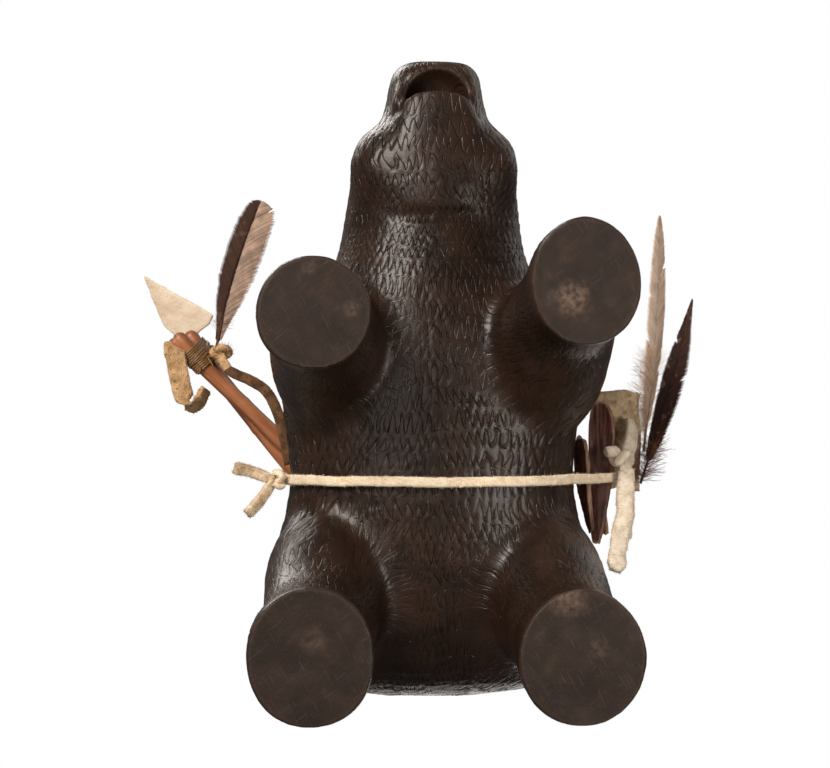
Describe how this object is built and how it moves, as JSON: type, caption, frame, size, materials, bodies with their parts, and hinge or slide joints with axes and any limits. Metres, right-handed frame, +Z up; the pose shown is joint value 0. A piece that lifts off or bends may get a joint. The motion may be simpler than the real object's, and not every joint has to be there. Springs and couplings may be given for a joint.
{
  "type": "carved standing bear with a tied bundle",
  "caption": "Dark carved bear on flat soles, fur strokes all over, a suede thong round its middle holding shafts, bark slips, hide and feathers.",
  "frame": {"origin": "on the floor, under the middle of the whole object's box", "axes": "+X to the bear's left, +Y to its rear (it faces -Y), +Z up"},
  "size_m": [0.1515, 0.1715, 0.0937],
  "materials": {
    "dark_resin": "dark brown-black, waxed semi-gloss, incised all over with fur strokes",
    "eye_glass": "black, polished",
    "cream_suede": "cream suede, napped",
    "tan_suede": "tan suede, napped, darker flecks",
    "brown_suede": "dark tan suede thong",
    "red_cane": "smooth red-brown shoot, satin",
    "raw_hide": "thin pale raw hide, faintly mottled",
    "sinew": "waxed yellow-brown sinew thread",
    "red_bark": "thin dark red bark, lighter edges",
    "grey_hide": "grey-tan folded hide, soft",
    "brown_feather": "tan vane and dark brown vane, pale quill",
    "pale_feather": "pale pinkish tan vanes, downy at the base",
    "dark_feather": "dark red-brown vanes, downy at the base"
  },
  "bodies": {
    "bear": {"bear_body": "dark_resin", "eye_left": "eye_glass", "eye_right": "eye_glass", "belly_thong": "cream_suede", "thong_knot": "cream_suede", "thong_tail_front": "cream_suede", "thong_tail_rear": "cream_suede", "lance_shaft_lower": "red_cane", "lance_shaft_upper": "red_cane", "lance_point": "raw_hide", "point_lashing": "sinew", "haft_wrap": "tan_suede", "feather_tie": "tan_suede", "lance_tie_thong": "brown_suede", "bark_slip_inner": "red_bark", "bark_slip_outer": "red_bark", "bark_slip_rear": "red_bark", "hide_fold": "grey_hide", "drop_knot": "cream_suede", "suede_drop_long": "cream_suede", "suede_drop_short": "cream_suede"},
    "lance_feather_body": {"lance_feather": "brown_feather"},
    "pale_feather_body": {"pale_feather": "pale_feather"},
    "dark_feather_body": {"dark_feather": "dark_feather"}
  },
  "joints": [
    {"name": "lance_feather_swing", "type": "hinge", "parent": "bear", "child": "lance_feather_body", "pos_m": [-0.0546, -0.0107, 0.0845], "axis": [0, 0, 1], "range_deg": [-12, 15]},
    {"name": "pale_feather_lift", "type": "hinge", "parent": "bear", "child": "pale_feather_body", "pos_m": [0.0622, 0.02, 0.0725], "axis": [-1, 0, 0], "range_deg": [0, 20]},
    {"name": "dark_feather_swing", "type": "hinge", "parent": "bear", "child": "dark_feather_body", "pos_m": [0.0606, 0.0285, 0.067], "axis": [0, 0, 1], "range_deg": [0, 18]}
  ]
}
